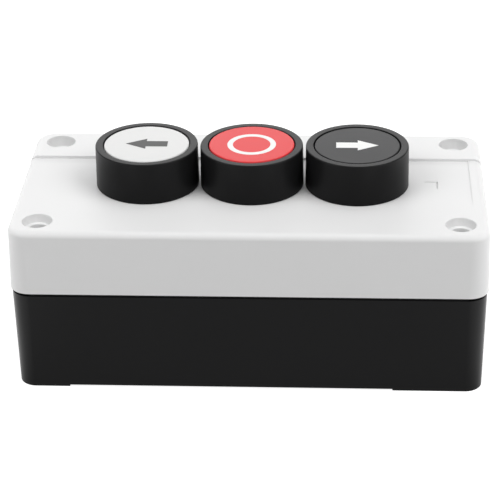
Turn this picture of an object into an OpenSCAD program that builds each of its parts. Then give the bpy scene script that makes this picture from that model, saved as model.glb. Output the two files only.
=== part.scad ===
// Three-button control station: a moulded box in two halves with two arrow buttons and a stop
// button between them. Each button works a contact block that is clipped to the floor of the box.
// Millimetres. The origin is under the middle of the box, +X along its length, +Z up to the buttons.

/* [Box] */
// Length of the box at the parting line
box_l = 136; // [132:1:160]
// Depth of the box at the parting line
box_d = 68; // [66:1:84]
// Height of the base, up to the parting line
base_h = 31; // [29:0.2:36]
// Height of the cover, from the parting line to the main panel
cover_h = 19.2; // [18.6:0.2:24]
// Corner radius of the cover seen from above
corner_r = 6; // [4:0.5:9]
// Rounding of the cover's top edge
edge_r = 1.8; // [0.8:0.1:2.4]
// How far the cover's walls lean in over their height
cover_draft = 0.35; // [0:0.05:0.4]
// How far the base stands back under the cover
base_inset = 0.42; // [0:0.02:0.6]
// How far the base's walls lean in over their height
base_draft = 0.52; // [0:0.04:0.8]
// Thickness of the cover's walls
cover_wall = 2.8; // [2.4:0.1:3.4]
// Thickness of the base's walls at the floor
base_wall = 2.6; // [2.2:0.1:3.2]
// Thickness of the base's floor
floor_t = 2.5; // [2:0.1:3.5]
// Thickness of the panel that carries the buttons
panel_t = 2.6; // [2:0.1:3.4]
// Height of the raised strip along the back of the panel
strip_h = 0.9; // [0.4:0.1:1.4]
// Distance of the raised strip from the bezels
strip_gap = 0.4; // [0.2:0.1:6]
// Height of the narrow raised margin at the right end of the panel
margin_h = 0.35; // [0.2:0.05:0.6]
// Width of the narrow raised margin
margin_w = 2.4; // [1.5:0.1:4]
// Thickness of the two ribs under the panel
rib_t = 1.5; // [1:0.1:2]
// Height of the ribs under the panel
rib_h = 3; // [2:0.5:5]
// Distance of the ribs from the outer ring nuts
rib_gap = 3; // [2:0.5:4]

/* [Feet and wall fixing] */
// Height of the two feet under the base
foot_h = 0.6; // [0.2:0.1:1.2]
// Length of the left foot
left_foot_l = 15; // [10:0.5:26]
// Length of the right foot
right_foot_l = 25.8; // [10:0.2:30]
// Distance of the wall-fixing holes from the ends of the box
fixing_inset_x = 19; // [17:0.5:20]
// Distance of the wall-fixing holes from the long sides of the box
fixing_inset_y = 7; // [6.5:0.5:9]
// Diameter of the wall-fixing holes
fixing_hole_d = 4.5; // [4:0.1:5.5]
// Diameter of the pads round the wall-fixing holes
fixing_pad_d = 9.6; // [8:0.2:10]
// Height of those pads over the floor
fixing_pad_h = 2.5; // [1:0.5:5]

/* [Cover screws] */
// Distance of the cover screws from the ends of the box
screw_inset_x = 8.5; // [7.5:0.1:9.5]
// Distance of the cover screws from the long sides of the box
screw_inset_y = 8.4; // [7:0.1:8.5]
// Diameter of the corner columns that hold them
column_d = 9.2; // [8.4:0.2:9.6]
// Diameter of the shallow counterbore in the panel
screw_mouth_d = 8.5; // [7:0.1:8.5]
// Depth of the shallow counterbore
screw_mouth_depth = 2.5; // [1:0.1:4]
// Diameter of the well that the screw head drops into
screw_well_d = 5.6; // [5.4:0.1:6.4]
// Depth of the shoulder under the screw head, from the panel
screw_shoulder_depth = 12; // [8:0.5:14]
// Diameter of the screw thread
screw_d = 3; // [2.5:0.5:3.5]
// Width of the cross recess in the screw heads
cross_w = 0.8; // [0.6:0.1:1]
// Depth of that recess
cross_depth = 1.2; // [0.8:0.1:1.6]
// Rim left round that recess
cross_rim = 1; // [0.8:0.1:1.2]
// Diameter of the screw head
screw_head_d = 5.1; // [4.5:0.1:5.3]
// Height of the screw head
screw_head_h = 2.3; // [1.6:0.1:3]
// How deep the screw reaches under the parting line
screw_reach = 7; // [5:0.5:10]
// Room under the insert for a longer screw
insert_relief = 4; // [3:0.5:6]
// Outer diameter of the threaded inserts
insert_d = 4.8; // [4.4:0.1:5.6]
// Length of the threaded inserts
insert_l = 7.5; // [5:0.5:9]
// Width of the groove round an insert
insert_groove_w = 1.2; // [0.8:0.1:2]
// Depth of the groove round an insert
insert_groove_depth = 0.3; // [0.2:0.05:0.5]

/* [Cover seal] */
// Width of the seal
seal_w = 1.4; // [1:0.1:1.5]
// Height of the seal when the cover is screwed down
seal_h = 1.1; // [0.8:0.1:1.6]
// Depth of the groove that holds it
seal_groove_depth = 2; // [1.8:0.1:3]
// Width of the lip outside the groove
seal_lip = 0.9; // [0.7:0.1:1]

/* [Cable entries] */
// Diameter of the knock-out for the larger cable gland
entry_d = 20.5; // [16:0.1:21]
// Diameter of the knock-out for the smaller cable gland
small_entry_d = 16.2; // [12:0.1:16.4]
// Height of the entry's centre over the underside of the box
entry_z = 15; // [13:0.5:16]
// Thickness of the web that is left under the knock-out groove
entry_web = 0.9; // [0.6:0.1:1.2]
// Width of the knock-out groove
entry_groove_w = 0.8; // [0.6:0.1:1.2]

/* [Button heads] */
// Diameter of the barrel that passes through the panel
barrel_d = 22; // [21.4:0.1:24]
// How far the bezel stands out round the barrel
bezel_flange = 4; // [3.6:0.1:4.6]
// Gap between neighbouring bezels
bezel_gap = 0.5; // [0.4:0.1:2]
// How much narrower the bezel is at its rim, on the diameter
bezel_taper = 0.3; // [0:0.1:0.8]
// Height of the bezel over the panel
bezel_h = 12.3; // [11:0.1:14]
// Width of the bezel's rim
bezel_rim = 2.25; // [1.8:0.05:2.6]
// Rounding of the bezel's outer rim
bezel_round = 0.5; // [0.2:0.1:0.8]
// Thickness of the plate between the bezel and its barrel
bezel_plate = 2.4; // [2:0.1:3]
// Gap round the barrel in its panel hole
panel_hole_gap = 0.15; // [0.1:0.05:0.3]
// Length of the barrel under the panel's upper face
barrel_l = 10.3; // [9.5:0.1:11]
// Wall of the barrel round the stem's flange
barrel_wall = 3; // [2.6:0.1:3.5]
// Thickness of the ledge at the bottom of the barrel
ledge_t = 2.5; // [1.5:0.1:3]
// Width of the key that stops the head from turning
key_w = 3; // [2:0.1:4]
// How far the key stands out of the barrel
key_h = 0.9; // [0.5:0.1:1.2]
// Thickness of the head gasket
gasket_t = 0.9; // [0.6:0.1:1.1]
// Width of the bezel's lip round its gasket
bezel_lip = 1.1; // [0.8:0.1:1.6]
// Width of the ring nut round the barrel
nut_w = 2.5; // [2.2:0.1:3]
// Thickness of the ring nut
nut_t = 4; // [3:0.1:5]
// Number of spanner slots round the ring nut
nut_slots = 8; // [4:1:12]
// Chamfer at the end of the barrel and on the snap collar
lead_chamfer = 0.5; // [0.2:0.1:0.8]
// Chamfer inside the bezel's rim and on the stem's pin
fine_chamfer = 0.3; // [0.2:0.05:0.5]
// Width of each spanner slot
nut_slot_w = 3.2; // [2:0.1:4]
// Depth of each spanner slot
nut_slot_depth = 1.2; // [0.6:0.1:1.3]
// Height of the plain rim above the spanner slots
nut_rim_t = 1.6; // [1:0.1:2.4]

/* [Caps and stems] */
// How far a button travels
travel = 4.3; // [3:0.1:4.6]
// How far the arrow caps lie under the bezel's rim
arrow_cap_drop = 0.05; // [0:0.05:0.5]
// How far the stop cap stands over the bezel's rim
stop_cap_rise = 0.15; // [0:0.05:1]
// Thickness of the cap's face
cap_t = 2.2; // [1.6:0.1:2.4]
// Thickness of the cap's skirt
cap_skirt_t = 1.2; // [0.9:0.1:1.6]
// Rounding of the cap's edge
cap_round = 0.4; // [0.2:0.05:0.6]
// Diameter of the pin that the cap snaps on to
stem_pin_d = 6; // [5:0.2:7]
// Length of that pin
stem_pin_l = 4.6; // [3.5:0.1:5]
// Wall round the pin's socket in the cap
socket_wall = 1.6; // [1:0.1:2]
// Thickness of the stem's flange
flange_t = 1.6; // [1.2:0.1:2]
// Diameter of the stem
stem_d = 8; // [7:0.1:8.6]
// Diameter of the snap collar under the ledge
collar_d = 10; // [9.6:0.1:12]
// Height of the snap collar
collar_h = 1.5; // [1:0.1:1.6]
// Diameter of the stem's tip
tip_d = 6.8; // [5:0.1:7.4]
// Mean diameter of the return spring
return_spring_d = 12; // [11.2:0.1:12.6]
// Wire of the return spring
return_wire_d = 0.8; // [0.6:0.05:0.9]

/* [Contact blocks] */
// Width of a contact block
block_w = 12; // [11.6:0.2:16]
// Length of a contact block
block_l = 42; // [42:0.5:46]
// Height of a contact block
block_h = 24; // [24:0.1:25]
// Height of a block's two ends
block_end_h = 19; // [18.6:0.1:20]
// Wall thickness of a block
block_wall = 1.2; // [1:0.1:1.4]
// Length of the tall middle of a block
block_tower_l = 26; // [25.6:0.2:28]
// Height of the pads that a block stands on
block_seat_h = 3.5; // [2:0.1:4]
// Length of the pads that a block stands on
block_seat_l = 6; // [4:0.5:8]
// How far the block's plunger stands out at rest
plunger_out = 5; // [4.8:0.1:6]
// Width of the block's plunger
plunger_w = 7.6; // [7:0.1:7.8]
// How far the plunger's shoulders stand out to each side
shoulder = 1.4; // [1:0.1:1.6]
// Height of the plunger's shoulders
shoulder_h = 1.4; // [1:0.1:2]
// Height of the plunger's lower end over the block's underside
plunger_low = 10; // [9.6:0.1:11]
// Diameter of the pin inside the block's spring
spring_pin_d = 3.6; // [3:0.1:4]
// Length of the pin inside the block's spring
spring_pin_l = 3; // [2:0.1:3.6]
// Mean diameter of the block's spring
block_spring_d = 5.4; // [5:0.1:6]
// Wire of the block's spring
block_wire_d = 0.5; // [0.4:0.05:0.6]
// Bare end of a contact arm past its tip
arm_end = 0.2; // [0.1:0.05:0.4]
// Length of the moving contact bridge
bridge_l = 17; // [16:0.1:18]
// Width of the moving contact bridge
bridge_w = 4; // [3:0.1:4.4]
// Thickness of the contact bridge
bridge_t = 0.8; // [0.6:0.05:1]
// Diameter of the contact tips
contact_tip_d = 2.4; // [1.8:0.1:2.6]
// Thickness of the contact tips
contact_tip_t = 0.6; // [0.4:0.05:0.8]
// Height of the fixed contact strip in a closing block, over the block's underside
closing_strip_z = 6.4; // [6:0.1:6.6]
// Height of the fixed contact strip in an opening block, over the block's underside
opening_strip_z = 18; // [17.8:0.1:18.4]
// Height of the strips under the terminal screws
terminal_z = 13; // [12:0.1:13.2]
// Thickness of the fixed contact strips
strip_t = 1; // [0.8:0.05:1.2]
// Width of the fixed contact strips
strip_w = 6; // [5:0.1:6.6]
// Free height for the spring that presses on the bridge
window_h = 5; // [4:0.1:5.4]
// Mean diameter of that spring
contact_spring_d = 3; // [2.6:0.1:3.2]
// Wire of that spring
contact_wire_d = 0.45; // [0.35:0.05:0.5]
// Distance of the terminal screws from the ends of the block
terminal_inset = 4.6; // [4.4:0.1:5]
// Diameter of the terminal screws
terminal_d = 3.5; // [3:0.1:3.6]
// Diameter of the terminal screw heads
terminal_head_d = 5.8; // [5:0.1:6]
// Height of the terminal screw heads
terminal_head_h = 2.2; // [1.6:0.1:2.6]
// Length of the terminal screws under the head
terminal_screw_l = 8; // [6:0.2:9]
// Side of the square clamp plates
clamp_w = 6; // [5:0.1:6.2]
// Thickness of the clamp plates
clamp_t = 1; // [0.8:0.1:1.2]
// Height of the mouth that a wire goes in through
wire_mouth_h = 3.4; // [2.5:0.1:3.6]
// Length of a block's clip foot
clip_foot_l = 1.6; // [1.2:0.1:1.8]
// Thickness of a block's clip foot
clip_foot_t = 1.6; // [1.2:0.1:2]
// Width of the base's clip hooks
hook_w = 7; // [5:0.5:8]
// Thickness of the base's clip hooks
hook_t = 1.6; // [1.2:0.1:2]

/* [Clearances] */
// Gap round a cap in its bezel
cap_gap = 0.25; // [0.2:0.01:0.35]
// Gap round a piece that slides in a guide
slide_gap = 0.2; // [0.15:0.01:0.25]
// Gap round a screw or pin in a fixed hole
pin_gap = 0.05; // [0.03:0.01:0.1]
// Gap round the cover screw where it passes the cover and the room under its insert
screw_gap = 0.2; // [0.15:0.05:0.3]
// Gap round a terminal screw's head in its well
well_gap = 0.3; // [0.2:0.05:0.4]
// Gap at the end stops and where tips meet
stop_gap = 0.1; // [0.05:0.01:0.15]
// Gap round clips and seals
clip_gap = 0.1; // [0.05:0.01:0.15]
// Room that a moving piece keeps at the end of its travel
end_room = 0.5; // [0.3:0.05:0.6]

/* [Hidden] */
$fn = 48;
hull_fn = 32;
round_steps = 5;
wire_sides = 6;
wire_steps = 12;
// Pitch of a spring's closed end turns, in wire diameters
closed_pitch = 1.12;
eps = 0.01;
// How far a cut runs past the face it opens
over = 1;

stations = ["left", "stop", "right"];
cap_colours = ["white", "red", "#1c1c1c"];
plunger_colours = ["green", "firebrick", "green"];

panel_z = base_h + cover_h;
bezel_d = barrel_d + 2 * bezel_flange;
bezel_r = bezel_d / 2;
panel_hole_d = barrel_d + 2 * panel_hole_gap;
barrel_bore_d = barrel_d - 2 * barrel_wall;
nut_d = barrel_d + 2 * nut_w;
strip_front = bezel_r + strip_gap;
button_pitch = bezel_d + bezel_gap;
recess_r = bezel_r - bezel_lip;
rim_r = bezel_r - bezel_taper / 2;
cap_bore_r = rim_r - bezel_rim;
cap_r = cap_bore_r - cap_gap;
barrel_r = barrel_d / 2;
barrel_bore_r = barrel_bore_d / 2;
skirt_low = bezel_plate + end_room + travel;
flange_top = bezel_plate + slide_gap;
flange_low = flange_top - flange_t;
ledge_z = ledge_t - barrel_l;

block_z = floor_t + block_seat_h;
block_top = block_z + block_h;
block_plunger_top = block_top + plunger_out;
tip_low = block_plunger_top + stop_gap - panel_z;
block_half = block_l / 2;
tower_half = block_tower_l / 2;
tray_w = block_w - block_wall;
guide_w = plunger_w + 2 * slide_gap;
terminal_y = block_half - terminal_inset;
strip_leg_y = tower_half - block_wall - strip_t;
contact_y = bridge_l / 2 - contact_tip_d / 2;
strip_tip_y = contact_y - contact_tip_d / 2 - arm_end;
closing_contact_z = block_z + closing_strip_z + strip_t + contact_tip_t;
opening_contact_z = block_z + opening_strip_z - contact_tip_t;
foot_edge = base_inset + base_draft;

// The stop button opens its contact, the arrow buttons close theirs
function opens(i) = i == 1;
function station_x(i) = (i - 1) * button_pitch;
function cap_top(i) = bezel_h + (opens(i) ? stop_cap_rise : -arrow_cap_drop);

// Underside of the bridge's bar at rest
function bridge_z(i) = opens(i)
    ? opening_contact_z - stop_gap / 2 - contact_tip_t - bridge_t
    : closing_contact_z + travel + stop_gap / 2 + contact_tip_t;

// Lower and upper end of the window that the bridge and its spring sit in
function window_low(i) = bridge_z(i) - (opens(i) ? window_h : 0);
function window_high(i) = bridge_z(i) + bridge_t + (opens(i) ? 0 : window_h);

// Points of a quarter turn, for a rounded edge
function quarter(cx, cy, r, from) =
    [for (k = [0:round_steps]) let (a = from + 90 * k / round_steps)
        [cx + r * cos(a), cy + r * sin(a)]];

// Height of a spring's wire after u turns, with one closed turn at each end
function coil_z(u, turns, h, closed) =
    u < 1 ? u * closed
    : u > turns - 1 ? h - (turns - u) * closed
    : closed + (u - 1) / (turns - 2) * (h - 2 * closed);

module at_station(i) {
    translate([station_x(i), 0, 0]) children();
}

module at_corners(inset_x, inset_y) {
    for (sx = [-1, 1], sy = [-1, 1])
        translate([sx * (box_l / 2 - inset_x), sy * (box_d / 2 - inset_y), 0]) children();
}

module both_ends() {
    for (side = [0, 1]) mirror([0, side, 0]) children();
}

// Rounded rectangle, drawn in from the box outline by a distance
module outline(inset) {
    l = box_l - 2 * inset;
    d = box_d - 2 * inset;
    r = max(corner_r - inset, 1);
    square([l - 2 * r, d], center = true);
    square([l, d - 2 * r], center = true);
    for (sx = [-1, 1], sy = [-1, 1])
        translate([sx * (l / 2 - r), sy * (d / 2 - r)]) circle(r);
}

module ring_wall(outside, inside) {
    difference() {
        outline(outside);
        outline(inside);
    }
}

// Coil spring that stands on z = 0
module coil(mean_r, wire_d, height, turns) {
    steps = turns * wire_steps;
    rings = [for (k = [0:steps])
        let (u = k / wire_steps, closed = wire_d * closed_pitch)
        let (z = wire_d / 2 + coil_z(u, turns, height - wire_d, closed))
        for (s = [0:wire_sides - 1])
            let (b = 90 + 360 * s / wire_sides, r = mean_r + wire_d / 2 * cos(b))
            [r * cos(360 * u), r * sin(360 * u), z + wire_d / 2 * sin(b)]];
    sides = [for (k = [0:steps - 1], s = [0:wire_sides - 1])
        let (n = (s + 1) % wire_sides)
        [k * wire_sides + s, k * wire_sides + n, (k + 1) * wire_sides + n, (k + 1) * wire_sides + s]];
    ends = [[for (s = [wire_sides - 1:-1:0]) s],
        [for (s = [0:wire_sides - 1]) steps * wire_sides + s]];
    polyhedron(points = rings, faces = concat(sides, ends));
}

// Lower half of the box

// One drafted corner of the base
module base_corner() {
    cylinder(h = base_h, r1 = corner_r - foot_edge, r2 = corner_r - base_inset, $fn = hull_fn);
}

module base_shell() {
    difference() {
        hull() at_corners(corner_r, corner_r) base_corner();
        translate([0, 0, floor_t]) linear_extrude(base_h) outline(foot_edge + base_wall);
    }
}

// Corner tower for a cover screw, filled out to the walls behind it
module screw_tower(low, high, wall_inset) {
    linear_extrude(high - low) intersection() {
        outline(wall_inset);
        union() for (sx = [-1, 1], sy = [-1, 1]) {
            x = box_l / 2 - screw_inset_x;
            y = box_d / 2 - screw_inset_y;
            translate([sx * x, sy * y]) circle(column_d / 2);
            translate([sx * x + (sx < 0 ? -screw_inset_x : 0), sy * y - column_d / 2])
                square([screw_inset_x, column_d]);
            translate([sx * x - column_d / 2, sy * y + (sy < 0 ? -screw_inset_y : 0)])
                square([column_d, screw_inset_y]);
        }
    }
}

// Pads and clip hooks that hold one contact block
module block_cradle() {
    foot_end = block_half + clip_foot_l + clip_gap;
    hook_top = block_z + clip_foot_t + clip_gap;
    both_ends() {
        translate([-block_w / 2, terminal_y - block_seat_l / 2, floor_t - eps])
            cube([block_w, block_seat_l, block_seat_h + eps]);
        translate([-hook_w / 2, foot_end, floor_t - eps])
            cube([hook_w, hook_t, hook_top + hook_t - floor_t + eps]);
        translate([-hook_w / 2, foot_end - clip_foot_l / 2, hook_top])
            cube([hook_w, clip_foot_l / 2 + eps, hook_t]);
    }
}

// Two ring grooves in an end wall, round the webs that are knocked out for a cable gland
module entry_grooves() {
    inner_face = box_l / 2 - foot_edge - base_wall;
    groove_depth = base_wall + foot_edge + over;
    translate([inner_face + entry_web, 0, entry_z]) rotate([0, 90, 0])
        for (d = [entry_d, small_entry_d]) linear_extrude(groove_depth) difference() {
            circle(d = d);
            circle(d = d - 2 * entry_groove_w);
        }
}

module base_box() {
    color("#1b1b1c") difference() {
        union() {
            base_shell();
            translate([0, 0, floor_t - eps])
                screw_tower(floor_t - eps, base_h, foot_edge + base_wall - eps);
            intersection() {
                at_corners(fixing_inset_x, fixing_inset_y)
                    cylinder(h = floor_t + fixing_pad_h, d = fixing_pad_d);
                translate([0, 0, floor_t / 2]) linear_extrude(base_h) outline(foot_edge + base_wall);
            }
            for (i = [0:2]) at_station(i) block_cradle();
        }
        translate([0, 0, base_h - seal_groove_depth]) linear_extrude(seal_groove_depth + over)
            ring_wall(base_inset + seal_lip, base_inset + seal_lip + seal_w + 2 * clip_gap);
        translate([left_foot_l + foot_edge - box_l / 2, -box_d, -over])
            cube([box_l - left_foot_l - right_foot_l - 2 * foot_edge, 2 * box_d, over + foot_h]);
        at_corners(fixing_inset_x, fixing_inset_y)
            translate([0, 0, -over])
                cylinder(h = floor_t + fixing_pad_h + 2 * over, d = fixing_hole_d);
        at_corners(screw_inset_x, screw_inset_y) {
            translate([0, 0, base_h - insert_l])
                cylinder(h = insert_l + over, d = insert_d + 2 * pin_gap);
            translate([0, 0, base_h - insert_l - insert_relief])
                cylinder(h = insert_relief + over, d = screw_d + 2 * screw_gap);
        }
        entry_grooves();
        mirror([1, 0, 0]) entry_grooves();
    }
}

// Upper half of the box

// One corner of the cover, with its rounded top edge, which starts at one height all round
module cover_corner(raised) {
    wall_r = corner_r - cover_draft;
    top_r = edge_r + raised;
    rotate_extrude($fn = hull_fn) polygon(concat(
        [[0, base_h], [corner_r, base_h]],
        quarter(wall_r - top_r, panel_z - edge_r, top_r, 0),
        [[0, panel_z + raised]]));
}

module cover_form(raised, low_y, high_y) {
    intersection() {
        hull() at_corners(corner_r, corner_r) cover_corner(raised);
        translate([-box_l, low_y, 0]) cube([2 * box_l, high_y - low_y, 2 * panel_z]);
    }
}

module cover_shell() {
    union() {
        cover_form(0, -box_d, strip_front);
        cover_form(strip_h, strip_front, box_d);
        translate([box_l / 2 - cover_draft - edge_r - margin_w, -strip_front, panel_z - edge_r])
            cube([margin_w, 2 * strip_front + eps, edge_r + margin_h]);
    }
}

module panel_hole() {
    depth = panel_t + strip_h + 2 * over;
    translate([0, 0, panel_z - panel_t - over]) {
        cylinder(h = depth, d = panel_hole_d);
        translate([-key_w / 2 - slide_gap, 0, 0])
            cube([key_w + 2 * slide_gap, barrel_r + key_h + slide_gap, depth]);
    }
}

module cover_screw_hole() {
    translate([0, 0, panel_z - screw_mouth_depth])
        cylinder(h = screw_mouth_depth + strip_h + over, d = screw_mouth_d);
    translate([0, 0, panel_z - screw_shoulder_depth])
        cylinder(h = screw_shoulder_depth, d = screw_well_d);
    translate([0, 0, base_h - over]) cylinder(h = cover_h, d = screw_d + 2 * screw_gap);
}

module cover() {
    tongue_gap = 2 * clip_gap;
    groove = base_inset + seal_lip;
    rib_x = button_pitch + (nut_d + rib_t) / 2 + rib_gap;
    color("#f2f2f0") difference() {
        union() {
            difference() {
                cover_shell();
                translate([0, 0, base_h - over])
                    linear_extrude(cover_h - panel_t + over) outline(cover_wall);
            }
            translate([0, 0, base_h]) screw_tower(base_h, panel_z - panel_t + eps, cover_wall - eps);
            translate([0, 0, base_h - seal_groove_depth + seal_h])
                linear_extrude(seal_groove_depth - seal_h + eps)
                ring_wall(groove + tongue_gap, groove + seal_w);
            for (side = [-1, 1])
                translate([side * rib_x - rib_t / 2, cover_wall - box_d / 2, panel_z - panel_t - rib_h])
                    cube([rib_t, box_d - 2 * cover_wall, rib_h + eps]);
        }
        for (i = [0:2]) at_station(i) panel_hole();
        at_corners(screw_inset_x, screw_inset_y) cover_screw_hole();
    }
}

module cover_seal() {
    color("dimgray") translate([0, 0, base_h - seal_groove_depth]) linear_extrude(seal_h)
        ring_wall(base_inset + seal_lip + clip_gap, base_inset + seal_lip + seal_w + clip_gap);
}

module threaded_inserts() {
    color("goldenrod") at_corners(screw_inset_x, screw_inset_y)
        translate([0, 0, base_h - insert_l]) difference() {
            cylinder(h = insert_l - stop_gap, d = insert_d);
            translate([0, 0, -over]) cylinder(h = insert_l + 2 * over, d = screw_d + 2 * pin_gap);
            translate([0, 0, (insert_l - insert_groove_w) / 2]) linear_extrude(insert_groove_w)
                difference() {
                    circle(d = insert_d + over);
                    circle(d = insert_d - 2 * insert_groove_depth);
                }
        }
}

module cover_screws() {
    shoulder_z = panel_z - screw_shoulder_depth;
    color("silver") at_corners(screw_inset_x, screw_inset_y) difference() {
        union() {
            translate([0, 0, shoulder_z]) cylinder(h = screw_head_h, d = screw_head_d);
            translate([0, 0, base_h - screw_reach])
                cylinder(h = shoulder_z - base_h + screw_reach + eps, d = screw_d);
        }
        cross_slot(shoulder_z + screw_head_h, screw_head_d);
    }
}

// Cross recess of a screw, cut down from its head
module cross_slot(top, head_d) {
    span = head_d - 2 * cross_rim;
    for (a = [0, 90]) rotate(a) translate([-span / 2, -cross_w / 2, top - cross_depth])
        cube([span, cross_w, cross_depth + over]);
}

// Button heads: heights here are from the panel's upper face

module head_body(i) {
    color("#161617") at_station(i) translate([0, 0, panel_z]) union() {
        rotate_extrude() polygon(concat(
            [[barrel_r - lead_chamfer, -barrel_l], [barrel_r, lead_chamfer - barrel_l]],
            [[barrel_r, gasket_t]],
            [[recess_r, gasket_t], [recess_r, 0], [bezel_r, 0]],
            quarter(rim_r - bezel_round, bezel_h - bezel_round, bezel_round, 0),
            [[cap_bore_r + fine_chamfer, bezel_h], [cap_bore_r, bezel_h - fine_chamfer]],
            [[cap_bore_r, bezel_plate]],
            [[barrel_bore_r, bezel_plate], [barrel_bore_r, ledge_z]],
            [[stem_d / 2 + slide_gap, ledge_z], [stem_d / 2 + slide_gap, -barrel_l]]));
        translate([-key_w / 2, barrel_r - key_h, -panel_t]) cube([key_w, 2 * key_h, panel_t]);
    }
}

module head_gasket(i) {
    color("#303030") at_station(i) translate([0, 0, panel_z]) difference() {
        cylinder(h = gasket_t, r = recess_r - clip_gap);
        translate([0, 0, -over]) cylinder(h = gasket_t + 2 * over, r = barrel_r + 3 * clip_gap);
    }
}

module ring_nut(i) {
    color("#3a3a3c") at_station(i) translate([0, 0, panel_z - panel_t - nut_t]) difference() {
        cylinder(h = nut_t, d = nut_d);
        translate([0, 0, -over]) cylinder(h = nut_t + 2 * over, d = barrel_d + 2 * pin_gap);
        for (k = [0:nut_slots - 1]) rotate(360 * k / nut_slots)
            translate([nut_d / 2 - nut_slot_depth, -nut_slot_w / 2, -over])
                cube([nut_slot_depth + over, nut_slot_w, nut_t - nut_rim_t + over]);
    }
}

module cap(i) {
    top = cap_top(i);
    pin_r = stem_pin_d / 2 + pin_gap;
    color(cap_colours[i]) at_station(i) translate([0, 0, panel_z]) rotate_extrude() polygon(concat(
        [[pin_r, flange_top], [pin_r + socket_wall, flange_top], [pin_r + socket_wall, top - cap_t]],
        [[cap_r - cap_skirt_t, top - cap_t], [cap_r - cap_skirt_t, skirt_low], [cap_r, skirt_low]],
        quarter(cap_r - cap_round, top - cap_round, cap_round, 0),
        [[0, top], [0, flange_top + stem_pin_l + stop_gap]],
        [[pin_r, flange_top + stem_pin_l + stop_gap]]));
}

module stem(i) {
    collar_top = -barrel_l - stop_gap;
    color("#4a4a4c") at_station(i) translate([0, 0, panel_z]) rotate_extrude() polygon([
        [0, tip_low], [tip_d / 2, tip_low],
        [tip_d / 2, collar_top - collar_h], [collar_d / 2 - lead_chamfer, collar_top - collar_h],
        [collar_d / 2, collar_top], [stem_d / 2, collar_top],
        [stem_d / 2, flange_low], [barrel_bore_r - slide_gap, flange_low],
        [barrel_bore_r - slide_gap, flange_top], [stem_pin_d / 2, flange_top],
        [stem_pin_d / 2, flange_top + stem_pin_l - fine_chamfer],
        [stem_pin_d / 2 - fine_chamfer, flange_top + stem_pin_l],
        [0, flange_top + stem_pin_l]]);
}

module return_spring(i) {
    color("silver") at_station(i) translate([0, 0, panel_z + ledge_z])
        coil(return_spring_d / 2, return_wire_d, flange_low - ledge_z, 5);
}

// Contact blocks: a tray that is open to the right, and a plate that closes it

// Side view of a block: low ends and a tall middle, drawn in by a distance
module block_profile(inset) {
    translate([-block_half + inset, inset]) square([block_l - 2 * inset, block_end_h - 2 * inset]);
    translate([-tower_half + inset, inset]) square([block_tower_l - 2 * inset, block_h - 2 * inset]);
}

module extrude_block(x, width) {
    translate([x, 0, block_z]) rotate([90, 0, 90]) linear_extrude(width) children();
}

// The two walls between the middle chamber and the terminal chambers
module inner_walls() {
    both_ends() translate([-block_w / 2, tower_half - block_wall, block_z])
        cube([tray_w, block_wall, block_h - block_wall]);
}

module strip_slots() {
    both_ends()
        translate([-strip_w / 2 - clip_gap, tower_half - block_wall - over, block_z + terminal_z])
            cube([block_w, block_wall + 2 * over, strip_t + clip_gap]);
}

module block_housing(i) {
    well_z = block_z + block_end_h - block_wall - over;
    color("#8d9092") at_station(i) difference() {
        union() {
            difference() {
                extrude_block(-block_w / 2, tray_w) block_profile(0);
                extrude_block(block_wall - block_w / 2, block_w) block_profile(block_wall);
            }
            inner_walls();
            both_ends() translate([-hook_w / 2, block_half - eps, block_z])
                cube([hook_w, clip_foot_l + eps, clip_foot_t]);
        }
        strip_slots();
        translate([-guide_w / 2, -guide_w / 2, block_top - block_wall - over])
            cube([guide_w, guide_w, block_wall + 2 * over]);
        both_ends() {
            translate([0, terminal_y, well_z])
                cylinder(h = block_wall + 2 * over, r = terminal_head_d / 2 + well_gap);
            translate([-strip_w / 2, block_half - block_wall - over, block_z + terminal_z + strip_t])
                cube([strip_w, block_wall + 2 * over, wire_mouth_h]);
        }
    }
}

module block_side_plate(i) {
    color("#9b9ea0") at_station(i) extrude_block(tray_w - block_w / 2, block_wall) block_profile(0);
}

module block_plunger(i) {
    low = block_z + plunger_low;
    shoulder_top = block_top - block_wall - stop_gap;
    color(plunger_colours[i]) at_station(i) difference() {
        union() {
            translate([-plunger_w / 2, -plunger_w / 2, low])
                cube([plunger_w, plunger_w, block_plunger_top - low]);
            translate([-plunger_w / 2, -plunger_w / 2 - shoulder, shoulder_top - shoulder_h])
                cube([plunger_w, plunger_w + 2 * shoulder, shoulder_h]);
            translate([0, 0, low - spring_pin_l]) cylinder(h = spring_pin_l + eps, d = spring_pin_d);
        }
        translate([-bridge_w / 2 - slide_gap, -plunger_w, window_low(i)])
            cube([bridge_w + 2 * slide_gap, 2 * plunger_w, window_high(i) - window_low(i)]);
    }
}

module block_spring(i) {
    low = block_z + block_wall;
    color("silver") at_station(i) translate([0, 0, low])
        coil(block_spring_d / 2, block_wire_d, block_z + plunger_low - low, 6);
}

module contact_bridge(i) {
    low = bridge_z(i);
    tip_z = opens(i) ? low + bridge_t - eps : low - contact_tip_t;
    color("darkgoldenrod") at_station(i) union() {
        translate([-bridge_w / 2, -bridge_l / 2, low]) cube([bridge_w, bridge_l, bridge_t]);
        both_ends() translate([0, contact_y, tip_z])
            cylinder(h = contact_tip_t + eps, d = contact_tip_d);
    }
}

module contact_spring(i) {
    low = opens(i) ? window_low(i) : bridge_z(i) + bridge_t;
    color("silver") at_station(i) translate([0, 0, low])
        coil(contact_spring_d / 2, contact_wire_d, window_h, 5);
}

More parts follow.
